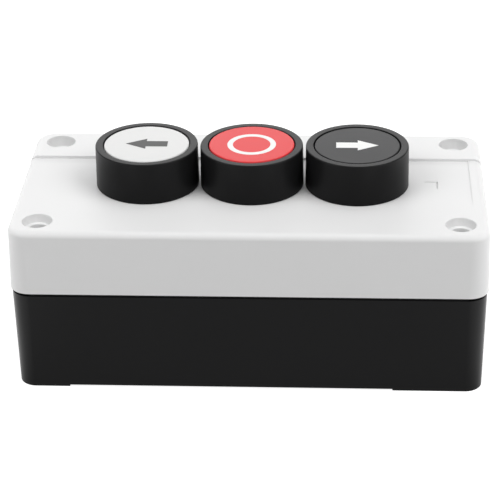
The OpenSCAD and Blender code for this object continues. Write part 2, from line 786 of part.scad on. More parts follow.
// Fixed contact: a terminal tongue, a leg and the arm that carries the tip
module fixed_contact(i) {
    arm_z = block_z + (opens(i) ? opening_strip_z : closing_strip_z);
    tongue_z = block_z + terminal_z;
    leg_low = min(arm_z, tongue_z);
    tip_z = opens(i) ? arm_z - contact_tip_t : arm_z + strip_t - eps;
    difference() {
        union() {
            translate([-strip_w / 2, strip_leg_y, tongue_z])
                cube([strip_w, block_half - block_wall - clip_gap - strip_leg_y, strip_t]);
            translate([-strip_w / 2, strip_leg_y, leg_low])
                cube([strip_w, strip_t, abs(arm_z - tongue_z) + strip_t]);
            translate([-strip_w / 2, strip_tip_y, arm_z])
                cube([strip_w, strip_leg_y + strip_t - strip_tip_y, strip_t]);
            translate([0, contact_y, tip_z]) cylinder(h = contact_tip_t + eps, d = contact_tip_d);
        }
        translate([0, terminal_y, tongue_z - over])
            cylinder(h = strip_t + 2 * over, d = terminal_d + 2 * pin_gap);
    }
}

module rear_contact(i) {
    color("darkgoldenrod") at_station(i) fixed_contact(i);
}

module front_contact(i) {
    color("darkgoldenrod") at_station(i) mirror([0, 1, 0]) fixed_contact(i);
}

module clamp_plates(i) {
    color("gainsboro") at_station(i) both_ends()
        translate([0, terminal_y, block_z + terminal_z + strip_t]) difference() {
            translate([-clamp_w / 2, -clamp_w / 2, 0]) cube([clamp_w, clamp_w, clamp_t]);
            translate([0, 0, -over])
                cylinder(h = clamp_t + 2 * over, d = terminal_d + 2 * pin_gap);
        }
}

module terminal_screws(i) {
    seat = block_z + terminal_z + strip_t + clamp_t;
    color("silver") at_station(i) both_ends() translate([0, terminal_y, 0]) difference() {
        union() {
            translate([0, 0, seat]) cylinder(h = terminal_head_h, d = terminal_head_d);
            translate([0, 0, seat - terminal_screw_l]) cylinder(h = terminal_screw_l + eps, d = terminal_d);
        }
        cross_slot(seat + terminal_head_h, terminal_head_d);
    }
}

base_box();
cover();
cover_seal();
threaded_inserts();
cover_screws();
for (i = [0:2]) {
    head_body(i);
    cap(i);
    stem(i);
    return_spring(i);
    head_gasket(i);
    ring_nut(i);
    block_housing(i);
    block_side_plate(i);
    block_plunger(i);
    block_spring(i);
    contact_bridge(i);
    contact_spring(i);
    front_contact(i);
    rear_contact(i);
    terminal_screws(i);
    clamp_plates(i);
}
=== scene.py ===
from math import cos, pi, radians, sin

import bmesh
import bpy
from mathutils import Matrix, Vector


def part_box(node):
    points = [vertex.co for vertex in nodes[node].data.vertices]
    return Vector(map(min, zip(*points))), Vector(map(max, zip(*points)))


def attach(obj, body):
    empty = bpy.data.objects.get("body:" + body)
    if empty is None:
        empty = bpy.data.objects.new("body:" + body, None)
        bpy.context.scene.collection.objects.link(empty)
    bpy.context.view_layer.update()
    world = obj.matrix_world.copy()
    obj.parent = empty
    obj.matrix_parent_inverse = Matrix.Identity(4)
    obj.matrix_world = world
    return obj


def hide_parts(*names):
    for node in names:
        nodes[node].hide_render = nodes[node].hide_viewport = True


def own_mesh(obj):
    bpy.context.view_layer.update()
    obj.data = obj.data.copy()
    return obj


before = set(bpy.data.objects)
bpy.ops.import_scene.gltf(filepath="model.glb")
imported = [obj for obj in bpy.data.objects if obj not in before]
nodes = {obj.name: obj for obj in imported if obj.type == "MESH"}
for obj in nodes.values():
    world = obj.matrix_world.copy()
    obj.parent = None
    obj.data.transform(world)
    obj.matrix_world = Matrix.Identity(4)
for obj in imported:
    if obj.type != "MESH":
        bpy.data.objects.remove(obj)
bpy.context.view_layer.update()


# Base of the box. The real one is a deep tray of near-black plastic, moulded in one shot with walls
# that lean in a little, two low feet underneath, and columns, pads and clip hooks inside.
# The cover is screwed down on its rim, which is stepped in, so that the joint is a dark line.

MM = 0.001
MICRON = 0.001 * MM
# The finer forms lie this much inside the plain solids' faces
SHAVE = 0.05 * MM
CORNER_STEPS = 20
FLAT_ANGLE, SHARP_ANGLE = radians(0.05), radians(35)


def corners_where(bm, test):
    """The corners whose place passes a test."""
    return [v for v in bm.verts if test(v.co)]


def edges_where(bm, test):
    """The edges whose two ends both pass a test."""
    return [e for e in bm.edges if test(e.verts[0].co) and test(e.verts[1].co)]


def rounded(bm, edges, width, steps):
    """Rounds edges over a width, in a number of steps. One step makes a chamfer."""
    bmesh.ops.bevel(bm, geom=edges, offset=width, offset_type="OFFSET", affect="EDGES",
                    segments=steps, profile=0.5, material=-1)


def block(low, high):
    """A plain block between two corners, as the blank for a moulding or a cutter."""
    bm = bmesh.new()
    bmesh.ops.create_cube(bm, size=1)
    size = Vector(high) - Vector(low)
    bmesh.ops.scale(bm, vec=size, verts=bm.verts)
    bmesh.ops.translate(bm, vec=Vector(low) + size / 2, verts=bm.verts)
    return bm


def moulded_block(half_x, half_y, low_z, high_z, corner_r):
    """A block with rounded upright corners."""
    bm = block((-half_x, -half_y, low_z), (half_x, half_y, high_z))
    upright = [e for e in bm.edges if abs(e.verts[0].co.z - e.verts[1].co.z) > MICRON]
    rounded(bm, upright, corner_r, CORNER_STEPS)
    return bm


def lean_in(bm, height, half_x, half_y, corner_r, distance):
    """Draws the outline at one height in, square to the walls, round the corners too."""
    for v in corners_where(bm, lambda co: abs(co.z - height) < MICRON):
        middle = Vector((max(-half_x + corner_r, min(half_x - corner_r, v.co.x)),
                         max(-half_y + corner_r, min(half_y - corner_r, v.co.y)), v.co.z))
        v.co -= (v.co - middle).normalized() * distance


def slice_through(bm, point, direction, drop_ahead=False):
    """Cuts a form with a plane, and keeps both parts or drops the one that lies ahead."""
    bmesh.ops.bisect_plane(bm, geom=bm.verts[:] + bm.edges[:] + bm.faces[:], plane_co=point,
                           plane_no=direction, clear_outer=drop_ahead)


def piece_from(bm, name):
    """Makes an object of a bmesh, with its faces turned outwards, and frees the bmesh."""
    bmesh.ops.remove_doubles(bm, verts=bm.verts, dist=0.1 * MICRON)
    bmesh.ops.recalc_face_normals(bm, faces=bm.faces)
    mesh = bpy.data.meshes.new(name)
    bm.to_mesh(mesh)
    bm.free()
    piece = bpy.data.objects.new(name, mesh)
    bpy.context.scene.collection.objects.link(piece)
    return piece


def whole_mesh(node):
    """A CAD node's loose triangles, merged into a closed form with large flat faces."""
    bm = bmesh.new()
    bm.from_mesh(nodes[node].data)
    bmesh.ops.remove_doubles(bm, verts=bm.verts, dist=MICRON)
    bmesh.ops.dissolve_limit(bm, angle_limit=FLAT_ANGLE, verts=bm.verts, edges=bm.edges)
    return bm


def carve(piece, tool, operation):
    """Cuts, joins or trims a piece with a tool, which is used up."""
    change = piece.modifiers.new("carve", "BOOLEAN")
    change.operation = operation
    change.solver = "EXACT"
    change.object = tool
    bpy.context.view_layer.update()
    shape = piece.evaluated_get(bpy.context.evaluated_depsgraph_get())
    mesh = bpy.data.meshes.new_from_object(shape)
    piece.modifiers.clear()
    piece.data = mesh
    bpy.data.objects.remove(tool)


def smooth(piece):
    """Rounds the shading of curved faces and keeps flat faces flat."""
    mesh = piece.data
    mesh.polygons.foreach_set("use_smooth", [True] * len(mesh.polygons))
    mesh.set_sharp_from_angle(angle=SHARP_ANGLE)
    weighted = piece.modifiers.new("flat faces stay flat", "WEIGHTED_NORMAL")
    weighted.keep_sharp = True


def fit(piece, body, slot, material, *replaced):
    """Gives a finished piece its material, its body and the CAD nodes that it stands for."""
    smooth(piece)
    piece.data.materials.clear()
    piece.data.materials.append(material)
    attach(piece, body)
    if replaced:
        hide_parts(*replaced)
    return piece


def add(tree, kind, values=None, **settings):
    """Adds a shader node, sets its own settings and then its sockets' values."""
    node = tree.nodes.new(kind)
    for label, value in settings.items():
        setattr(node, label, value)
    for label, value in (values or {}).items():
        node.inputs[label].default_value = value
    return node


def surface_group(name, inputs):
    """A shader group with named float inputs, which puts out a height, a shade and a roughness."""
    group = bpy.data.node_groups.new(name, "ShaderNodeTree")
    for label, value in inputs.items():
        socket = group.interface.new_socket(name=label, in_out="INPUT", socket_type="NodeSocketFloat")
        socket.default_value = value
    for label in ("Height", "Shade", "Roughness"):
        group.interface.new_socket(name=label, in_out="OUTPUT", socket_type="NodeSocketFloat")
    return group


def noise(group, size, vector, detail, roughness):
    """A noise texture whose blots are as wide as a size input says."""
    scale = add(group, "ShaderNodeMath", {0: 1}, operation="DIVIDE")
    group.links.new(size, scale.inputs[1])
    texture = add(group, "ShaderNodeTexNoise", {"Detail": detail, "Roughness": roughness})
    group.links.new(vector, texture.inputs["Vector"])
    group.links.new(scale.outputs[0], texture.inputs["Scale"])
    return texture.outputs["Fac"]


def put_out(group, given, height, clouds):
    """Puts out a group's height, and its shade and roughness, which vary with the clouds."""
    link = group.links.new
    centred = add(group, "ShaderNodeMath", {1: 0.5}, operation="SUBTRACT")
    link(clouds, centred.inputs[0])
    shade = add(group, "ShaderNodeMath", {2: 1}, operation="MULTIPLY_ADD")
    polish = add(group, "ShaderNodeMath", operation="MULTIPLY_ADD")
    for label, varied in (("Shade change", shade), ("Polish change", polish)):
        link(centred.outputs[0], varied.inputs[0])
        link(given.outputs[label], varied.inputs[1])
    link(given.outputs["Roughness"], polish.inputs[2])
    result = add(group, "NodeGroupOutput")
    link(height, result.inputs["Height"])
    link(shade.outputs[0], result.inputs["Shade"])
    link(polish.outputs[0], result.inputs["Roughness"])


def moulded_surface():
    """Spark-eroded mould texture: fine grain, wider clouds of shade, and uneven polish."""
    group = surface_group("moulded surface", {
        "Grain size": 0.25 * MM, "Cloud size": 22 * MM, "Shade change": 0.03, "Polish change": 0.08,
        "Roughness": 0.5})
    given = add(group, "NodeGroupInput")
    place = add(group, "ShaderNodeTexCoord").outputs["Object"]
    grain = noise(group, given.outputs["Grain size"], place, detail=2, roughness=0.6)
    clouds = noise(group, given.outputs["Cloud size"], place, detail=4, roughness=0.6)
    put_out(group, given, grain, clouds)
    return group


def finish(name, colour, shader_values, surface, surface_values, depth):
    """A material whose shade, polish and bump come from a surface group."""
    material = bpy.data.materials.new(name)
    material.use_nodes = True
    tree = material.node_tree
    link = tree.links.new
    shader = tree.nodes["Principled BSDF"]
    for label, value in shader_values.items():
        shader.inputs[label].default_value = value
    texture = add(tree, "ShaderNodeGroup", surface_values, node_tree=surface)
    tint = add(tree, "ShaderNodeVectorMath", {0: colour}, operation="SCALE")
    bump = add(tree, "ShaderNodeBump", {"Distance": depth})
    link(texture.outputs["Shade"], tint.inputs["Scale"])
    link(tint.outputs[0], shader.inputs["Base Color"])
    link(texture.outputs["Roughness"], shader.inputs["Roughness"])
    link(texture.outputs["Height"], bump.inputs["Height"])
    link(bump.outputs["Normal"], shader.inputs["Normal"])
    return material


MOULDED_SURFACE = moulded_surface()


def plastic(name, colour, roughness, specular=0.5, grain=0.25, depth=6, shade=0.03):
    """Moulded plastic, with its grain's size in mm and depth in microns, and its change of shade."""
    return finish(name, colour, {"Specular IOR Level": specular}, MOULDED_SURFACE,
                  {"Grain size": grain * MM, "Shade change": shade, "Roughness": roughness},
                  depth * MICRON)


BASE_CORNER_R, BASE_EDGE_R = 5.58 * MM, 0.2 * MM
BASE_LEAN, FEET_Z = 0.52 * MM, 0.4 * SHAVE
RIM_STEP_H, RIM_STEP_IN = 0.92 * MM, 0.5 * MM
base_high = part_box("base_box")[1]
base_half_x, base_half_y = base_high.x - SHAVE, base_high.y - SHAVE
step_z = base_high.z - RIM_STEP_H


def base_form():
    """The base's outer form. Two loops under the rim's step keep its shading off the tall walls."""
    bm = moulded_block(base_half_x, base_half_y, FEET_Z, base_high.z + MM, BASE_CORNER_R)
    lean_in(bm, FEET_Z, base_half_x, base_half_y, BASE_CORNER_R, BASE_LEAN)
    rounded(bm, edges_where(bm, lambda co: co.z < SHAVE), BASE_EDGE_R, steps=4)
    for height in (step_z - 2 * SHAVE, step_z - RIM_STEP_IN):
        slice_through(bm, (0, 0, height), (0, 0, 1))
    return piece_from(bm, "base_form")


def rim_step():
    """Cutter for the rim's step: a block from which the narrower rim is taken out."""
    reach_x, reach_y = base_high.x + MM, base_high.y + MM
    cutter = piece_from(block((-reach_x, -reach_y, step_z), (reach_x, reach_y, base_high.z + MM)),
                        "rim_step")
    rim = moulded_block(base_half_x - RIM_STEP_IN, base_half_y - RIM_STEP_IN, step_z - MM,
                        base_high.z + 2 * MM, BASE_CORNER_R - RIM_STEP_IN)
    carve(cutter, piece_from(rim, "rim"), "DIFFERENCE")
    return cutter


base = piece_from(whole_mesh("base_box"), "base_shell")
carve(base, base_form(), "INTERSECT")
carve(base, rim_step(), "DIFFERENCE")
black_moulding = plastic("near-black moulding", (0.0055, 0.0055, 0.0058), 0.38, specular=0.1, shade=0.2)
fit(base, "enclosure", "base_plastic", black_moulding, "base_box")


# Cover of the box. The real one is a cool-white moulding with a rounded top edge, a raised strip along
# the back, a low margin at the right end that sinks into the panel, and an engraved corner mark.
# It sits on the seal, and four screws hold it down through counterbored holes with tapered mouths.

PANEL_Z = 50.2 * MM
COVER_CORNER_R, COVER_EDGE_R = 6 * MM, 1.8 * MM
COVER_LEAN, FRONT_LEAN = 0.35 * MM, 0.4 * MM
STRIP_FRONT, STRIP_H, STEP_R = 15.4 * MM, 0.9 * MM, 0.3 * MM
MARGIN_X, MARGIN_FADE_Y, MARGIN_H = (63.45 * MM, 65.7 * MM), -9 * MM, 0.2 * MM
FORWARD = (0, -1, 0)
cover_low, cover_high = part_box("cover")
parting_z = cover_low.z


def cover_form(raised):
    """The cover's outer form, with its top raised above the panel or level with it."""
    half_x, half_y = cover_high.x - SHAVE, cover_high.y - SHAVE
    top = PANEL_Z + raised - SHAVE
    bm = moulded_block(half_x, half_y, parting_z - MM, top, COVER_CORNER_R)
    lean_in(bm, top, half_x, half_y, COVER_CORNER_R, COVER_LEAN)
    top_edges = edges_where(bm, lambda co: abs(co.z - top) < MICRON)
    rounded(bm, top_edges, COVER_EDGE_R + raised, steps=10)
    for v in corners_where(bm, lambda co: co.y < 0):
        rise = (v.co.z - parting_z) / (PANEL_Z - parting_z)
        v.co.y *= 1 - rise * FRONT_LEAN / half_y
    return bm


def rear_strip():
    """The raised strip: the cover's form, cut off in front, with a rounded step.

    The loop behind the step keeps its shading off the strip's top.
    """
    top = PANEL_Z + STRIP_H - SHAVE
    front = STRIP_FRONT + SHAVE
    bm = cover_form(STRIP_H)
    slice_through(bm, (0, front, 0), FORWARD, drop_ahead=True)
    bmesh.ops.holes_fill(bm, edges=[e for e in bm.edges if e.is_boundary], sides=0)
    step = edges_where(bm, lambda co: abs(co.y - front) < MICRON and abs(co.z - top) < MICRON)
    rounded(bm, step, STEP_R, steps=4)
    slice_through(bm, (0, front + STEP_R + SHAVE, 0), FORWARD)
    return piece_from(bm, "rear_strip")


def end_margin():
    """The margin at the right end, whose front stretch sinks into the panel."""
    bm = block((MARGIN_X[0], -STRIP_FRONT, PANEL_Z - MM),
               (MARGIN_X[1], STRIP_FRONT + MM, PANEL_Z + MARGIN_H - SHAVE))
    slice_through(bm, (0, MARGIN_FADE_Y, 0), FORWARD)
    for v in corners_where(bm, lambda co: co.z > PANEL_Z and co.y < MARGIN_FADE_Y - SHAVE):
        v.co.z = PANEL_Z - 2 * SHAVE
    return piece_from(bm, "margin")


cover_outside = piece_from(cover_form(0), "cover_outside")
carve(cover_outside, rear_strip(), "UNION")
carve(cover_outside, end_margin(), "UNION")
cover = piece_from(whole_mesh("cover"), "cover_shell")
carve(cover, cover_outside, "INTERSECT")

SCREW_X, SCREW_Y = 59.5 * MM, 25.6 * MM
MOUTH_R, WELL_R = 4.25 * MM, 2.8 * MM
MOUTH_Z, SHOULDER_Z = PANEL_Z - 2.5 * MM, PANEL_Z - 12 * MM
MOUTH_TAPER, LINING_T = 0.6 * MM, 0.3 * MM
HOLE_EASE, RIM_EASE, HOLE_ROUND = 0.02 * MM, 0.05 * MM, 0.25 * MM
LIP_H, LIP_W = 0.3 * MM, 0.2 * MM
LIP_ROUND = 0.98 * LIP_W
HOLE_STEPS = 64


def turned(profile, steps):
    """Turns a closed outline of (radius, height) points round an upright line."""
    bm = bmesh.new()
    points = [bm.verts.new((radius, 0, height)) for radius, height in profile]
    edges = [bm.edges.new(pair) for pair in zip(points, points[1:] + points[:1])
             if pair[0].co.x > 0 or pair[1].co.x > 0]
    bmesh.ops.spin(bm, geom=points + edges, cent=(0, 0, 0), axis=(0, 0, 1), angle=2 * pi, steps=steps,
                   use_merge=True)
    bmesh.ops.remove_doubles(bm, verts=bm.verts, dist=0.1 * MICRON)
    bmesh.ops.recalc_face_normals(bm, faces=bm.faces)
    return bm


def ring_edges(bm, radius, height):
    """The edges that run round a turned piece at one radius and height."""
    return edges_where(bm, lambda co: abs(Vector((co.x, co.y)).length - radius) < 2 * MICRON
                       and abs(co.z - height) < 2 * MICRON)


def mouth_lining(top, x, y):
    """A sleeve in the mouth of a screw hole, for the mouth's taper to be cut in."""
    outside, inside, low = MOUTH_R + LINING_T, WELL_R - LINING_T, MOUTH_Z - LINING_T
    bm = turned([(inside, low), (outside, low), (outside, top - LIP_H), (inside, top - LIP_H)],
                HOLE_STEPS)
    bmesh.ops.translate(bm, vec=(x, y, 0), verts=bm.verts)
    return piece_from(bm, "mouth_lining")


def screw_hole(top, x, y):
    """Cutter for one screw hole: a tapered mouth with a softened edge over a narrow well."""
    wide, narrow, rim = MOUTH_R + HOLE_EASE, WELL_R + HOLE_EASE, MOUTH_R + RIM_EASE
    foot = wide - MOUTH_TAPER
    bm = turned([(0, top + MM), (rim + LIP_W, top + MM), (rim + LIP_W, top), (rim, top),
                 (wide, top - LIP_H - SHAVE), (foot, MOUTH_Z), (narrow, MOUTH_Z), (narrow, SHOULDER_Z),
                 (0, SHOULDER_Z)], HOLE_STEPS)
    rounded(bm, ring_edges(bm, rim, top), LIP_ROUND, steps=5)
    rounded(bm, ring_edges(bm, foot, MOUTH_Z) + ring_edges(bm, narrow, MOUTH_Z), HOLE_ROUND, steps=3)
    bmesh.ops.translate(bm, vec=(x, y, 0), verts=bm.verts)
    return piece_from(bm, "screw_hole")


for y, top in ((-SCREW_Y, PANEL_Z - SHAVE), (SCREW_Y, PANEL_Z + STRIP_H - SHAVE)):
    for x in (-SCREW_X, SCREW_X):
        carve(cover, mouth_lining(top, x, y), "UNION")
        carve(cover, screw_hole(top, x, y), "DIFFERENCE")

MARK_X, MARK_Y = (50.1 * MM, 54 * MM), (-2.9 * MM, 1.75 * MM)
MARK_ACROSS_W, MARK_DOWN_W, MARK_DEPTH = 0.62 * MM, 0.42 * MM, 0.6 * MM
for name, low_x, low_y in (("mark_across", MARK_X[0], MARK_Y[1] - MARK_ACROSS_W),
                           ("mark_down", MARK_X[1] - MARK_DOWN_W, MARK_Y[0])):
    line = block((low_x, low_y, PANEL_Z - MARK_DEPTH), (MARK_X[1], MARK_Y[1], PANEL_Z + MM))
    carve(cover, piece_from(line, name), "DIFFERENCE")
white_moulding = plastic("cool white moulding", (0.795, 0.795, 0.795), 0.5, specular=0.1, shade=0.015)
fit(cover, "enclosure", "cover_plastic", white_moulding, "cover")


# Button heads. Each real head is one black moulding: a tall plain bezel, and under the panel a barrel
# with a key that stops it from turning. It stands on a thin gasket, and a ring nut pulls it down.

BEZEL_R, BEZEL_RIM_R, CAP_BORE_R = 15 * MM, 14.85 * MM, 12.6 * MM
BARREL_R, BARREL_BORE_R, STEM_BORE_R = 11 * MM, 8 * MM, 4.2 * MM
BEZEL_H, BEZEL_PLATE, GASKET_T, RECESS_R = 12.3 * MM, 2.4 * MM, 0.9 * MM, 13.9 * MM
BARREL_L, LEDGE_T = 10.3 * MM, 2.5 * MM
RIM_ROUND, BEZEL_EDGE_R, BARREL_CHAMFER = 0.38 * MM, 0.25 * MM, 0.5 * MM
KEY_W, KEY_H, PANEL_T = 3 * MM, 0.9 * MM, 2.6 * MM
HEAD_STEPS = 128
STATIONS = ("left", "stop", "right")


def station_x(station):
    """The place of a button along the box."""
    low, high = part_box(station + "_cap")
    return (low.x + high.x) / 2


def stand(bm, station):
    """Moves a turned piece from the middle of the box to its own panel hole."""
    bmesh.ops.translate(bm, vec=(station_x(station), 0, PANEL_Z), verts=bm.verts)


def head_body(station):
    """A bezel and its barrel, turned as one, with the key on the barrel's rear side."""
    ledge_top = LEDGE_T - BARREL_L
    bm = turned([(BARREL_R, -BARREL_L), (BARREL_R, GASKET_T), (RECESS_R, GASKET_T), (RECESS_R, 0),
                 (BEZEL_R, 0), (BEZEL_RIM_R, BEZEL_H), (CAP_BORE_R, BEZEL_H), (CAP_BORE_R, BEZEL_PLATE),
                 (BARREL_BORE_R, BEZEL_PLATE), (BARREL_BORE_R, ledge_top), (STEM_BORE_R, ledge_top),
                 (STEM_BORE_R, -BARREL_L)], HEAD_STEPS)
    rounded(bm, ring_edges(bm, BEZEL_RIM_R, BEZEL_H), RIM_ROUND, steps=6)
    rounded(bm, ring_edges(bm, BEZEL_R, 0), BEZEL_EDGE_R, steps=3)
    rounded(bm, ring_edges(bm, CAP_BORE_R, BEZEL_H), BEZEL_EDGE_R, steps=3)
    rounded(bm, ring_edges(bm, BARREL_R, -BARREL_L), BARREL_CHAMFER, steps=1)
    stand(bm, station)
    head = piece_from(bm, station + "_head")
    x = station_x(station)
    key = block((x - KEY_W / 2, BARREL_R - KEY_H, PANEL_Z - PANEL_T),
                (x + KEY_W / 2, BARREL_R + KEY_H, PANEL_Z))
    carve(head, piece_from(key, "key"), "UNION")
    return head


bezel_moulding = plastic("black bezel moulding", (0.0078, 0.0078, 0.0081), 0.34, specular=0.075, depth=4,
                         shade=0.2)
for station in STATIONS:
    fit(head_body(station), "enclosure", "bezel_plastic", bezel_moulding, station + "_head_body")


# Caps. The real ones are hollow discs of glossier plastic, white, red and black, snapped on the stems.
# Their skirts slide in the bezels. The signs are printed: two arrows and a ring.

CAP_R, CAP_T, CAP_SKIRT_T, CAP_ROUND = 12.35 * MM, 2.2 * MM, 1.2 * MM, 0.4 * MM
PIN_R, SOCKET_WALL, SOCKET_TOP = 3.05 * MM, 1.6 * MM, 7.3 * MM
SKIRT_LOW, SOCKET_LOW = 7.2 * MM, 2.6 * MM
PRINT_ROOM = 0.03 * MM
PRINT_T, PRINT_SUNK = 2 * PRINT_ROOM, 1.1 * PRINT_ROOM
ARROW_L, ARROW_HEAD_L, ARROW_HEAD_W, ARROW_SHAFT_W = 12.2 * MM, 6.0 * MM, 6.8 * MM, 3.6 * MM
RING_OUTER_R, RING_INNER_R, RING_FORWARD, RING_STEPS = 7.03 * MM, 5.43 * MM, 0.35 * MM, 96


def cap_top(station):
    """The height of a cap's face above the panel, with room left for the print."""
    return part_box(station + "_cap")[1].z - PANEL_Z - PRINT_ROOM


def cap(station):
    """A hollow disc with a skirt, and a socket for the stem's pin under it."""
    top = cap_top(station)
    bm = turned([(0, top), (CAP_R, top), (CAP_R, SKIRT_LOW), (CAP_R - CAP_SKIRT_T, SKIRT_LOW),
                 (CAP_R - CAP_SKIRT_T, top - CAP_T), (PIN_R + SOCKET_WALL, top - CAP_T),
                 (PIN_R + SOCKET_WALL, SOCKET_LOW), (PIN_R, SOCKET_LOW), (PIN_R, SOCKET_TOP),
                 (0, SOCKET_TOP)], HEAD_STEPS)
    rounded(bm, ring_edges(bm, CAP_R, top), CAP_ROUND, steps=6)
    stand(bm, station)
    return piece_from(bm, station + "_button_cap")


def printed(bm, station, name):
    """Gives a flat sign its thickness of print and lays it on its cap."""
    lifted = bmesh.ops.extrude_face_region(bm, geom=bm.faces[:])["geom"]
    upper = [part for part in lifted if isinstance(part, bmesh.types.BMVert)]
    bmesh.ops.translate(bm, vec=(0, 0, PRINT_T), verts=upper)
    bmesh.ops.translate(bm, vec=(0, 0, cap_top(station) - PRINT_SUNK), verts=bm.verts)
    stand(bm, station)
    return piece_from(bm, name)


def arrow_sign(station, direction):
    """An arrow with a long head, drawn from its tip round its shaft."""
    half, neck = ARROW_L / 2, ARROW_L / 2 - ARROW_HEAD_L
    outline = [(half, 0), (neck, ARROW_HEAD_W / 2), (neck, ARROW_SHAFT_W / 2),
               (-half, ARROW_SHAFT_W / 2), (-half, -ARROW_SHAFT_W / 2), (neck, -ARROW_SHAFT_W / 2),
               (neck, -ARROW_HEAD_W / 2)]
    bm = bmesh.new()
    bm.faces.new([bm.verts.new((direction * x, y, 0)) for x, y in outline])
    return printed(bm, station, station + "_arrow_sign")


def ring_sign(station):
    """A flat ring, a little in front of the cap's middle."""
    bm = bmesh.new()
    for radius in (RING_INNER_R, RING_OUTER_R):
        bmesh.ops.create_circle(bm, segments=RING_STEPS, radius=radius, cap_ends=False)
    bmesh.ops.bridge_loops(bm, edges=bm.edges[:])
    bmesh.ops.translate(bm, vec=(0, -RING_FORWARD, 0), verts=bm.verts)
    return printed(bm, station, station + "_ring_sign")


white_cap = plastic("semi-gloss white cap", (0.665, 0.665, 0.66), 0.3, specular=0.1, grain=0.4,
                    depth=2, shade=0.01)
red_cap = plastic("semi-gloss red cap", (0.71, 0.053, 0.058), 0.3, specular=0.06, grain=0.4,
                  depth=2, shade=0.04)
black_cap = plastic("semi-gloss black cap", (0.018, 0.018, 0.019), 0.34, specular=0.075, grain=0.4,
                    depth=2, shade=0.1)
grey_print = plastic("dark grey print", (0.06, 0.06, 0.06), 0.5, specular=0.2, grain=0.15,
                     depth=1, shade=0.04)
white_print = plastic("white print", (0.82, 0.82, 0.81), 0.5, specular=0.25, grain=0.15,
                      depth=1, shade=0.02)

for station, slot, material in zip(STATIONS, ("white_cap", "red_cap", "black_cap"),
                                   (white_cap, red_cap, black_cap)):
    fit(cap(station), station + "_button", slot, material, station + "_cap")
fit(arrow_sign("left", -1), "left_button", "white_cap", grey_print)
fit(ring_sign("stop"), "stop_button", "red_cap", white_print)
fit(arrow_sign("right", 1), "right_button", "black_cap", white_print)


# Seal, inserts and cover screws. The real seal is a soft cord pressed into the base's groove. The
# inserts are turned brass, moulded into the corner towers, and the screws are zinc-plated steel with
# cross recesses. The screws pull the cover down until its tongue squeezes the seal.

def eased(node, width):
    """A finer copy of a CAD node, with its sharp outer edges taken off."""
    bm = whole_mesh(node)
    sharp = [e for e in bm.edges if len(e.link_faces) == 2 and e.calc_face_angle_signed(0) > SHARP_ANGLE]
    bmesh.ops.bevel(bm, geom=sharp, offset=width, offset_type="OFFSET", affect="EDGES", segments=2,
                    profile=0.5, clamp_overlap=True, material=-1)
    return piece_from(bm, node + "_finished")


TOOL_LINE_DEPTH = 3 * MICRON
TOOL_LINE_STRETCH = 20


def metal_surface():
    """Worked metal: fine tool lines drawn out round the piece, and a mottled plating."""
    group = surface_group("metal surface", {
        "Line size": 0.08 * MM, "Mottle size": 1.5 * MM, "Shade change": 0.1, "Polish change": 0.25,
        "Roughness": 0.3})
    given = add(group, "NodeGroupInput")
    place = add(group, "ShaderNodeTexCoord").outputs["Object"]
    along = 1 / TOOL_LINE_STRETCH
    drawn_out = add(group, "ShaderNodeMapping", {"Scale": (along, along, 1)})
    group.links.new(place, drawn_out.inputs["Vector"])
    lines = noise(group, given.outputs["Line size"], drawn_out.outputs[0], detail=2, roughness=0.5)
    mottle = noise(group, given.outputs["Mottle size"], place, detail=3, roughness=0.6)
    put_out(group, given, lines, mottle)
    return group


METAL_SURFACE = metal_surface()


def metal(name, colour, roughness, line=0.08):
    """Worked metal, with the width of its tool lines in mm."""
    return finish(name, colour, {"Metallic": 1}, METAL_SURFACE,
                  {"Line size": line * MM, "Roughness": roughness}, TOOL_LINE_DEPTH)


rubber = plastic("soft black rubber", (0.018, 0.018, 0.018), 0.75, specular=0.3, grain=0.5, depth=8,
                 shade=0.15)
turned_brass = metal("turned brass", (0.78, 0.55, 0.24), 0.3)
plated_steel = metal("zinc-plated steel", (0.62, 0.62, 0.6), 0.32)
fit(eased("cover_seal", 0.2 * MM), "enclosure", "seal_rubber", rubber, "cover_seal")
fit(eased("threaded_inserts", 0.08 * MM), "enclosure", "insert_brass", turned_brass, "threaded_inserts")
fit(eased("cover_screws", 0.15 * MM), "enclosure", "screw_steel", plated_steel, "cover_screws")


# Gaskets, ring nuts and stems. Each real head stands on a die-cut rubber ring, and a moulded nut with
# spanner slots clamps it from below. The stem is a plain moulding that snaps through the barrel's
# ledge, with the cap on its pin above.

nut_plastic = plastic("dark grey nut plastic", (0.03, 0.03, 0.031), 0.5, specular=0.3, shade=0.1)
stem_plastic = plastic("dark grey stem plastic", (0.055, 0.055, 0.057), 0.45, specular=0.4, shade=0.1)
for station in STATIONS:
    fit(eased(station + "_head_gasket", 0.12 * MM), "enclosure", "seal_rubber", rubber,
        station + "_head_gasket")
    fit(eased(station + "_ring_nut", 0.25 * MM), "enclosure", "nut_plastic", nut_plastic,
        station + "_ring_nut")
    fit(eased(station + "_stem", 0.15 * MM), station + "_button", "stem_plastic", stem_plastic,
        station + "_stem")


# Springs. The real ones are cold-wound from hard-drawn wire, with one closed turn at each end. The
# return spring sits round the stem, a second one under the block's plunger, and a small one presses on
# the contact bridge. In the real box the first two shorten as their button goes down, and the third
# rides with its bridge.

WIRE_SIDES, COIL_STEPS = 12, 28
# Rise of a closed turn, in wire radii
CLOSED_RISE = 2.24
drawn_wire = metal("drawn spring wire", (0.55, 0.55, 0.54), 0.28, line=0.05)


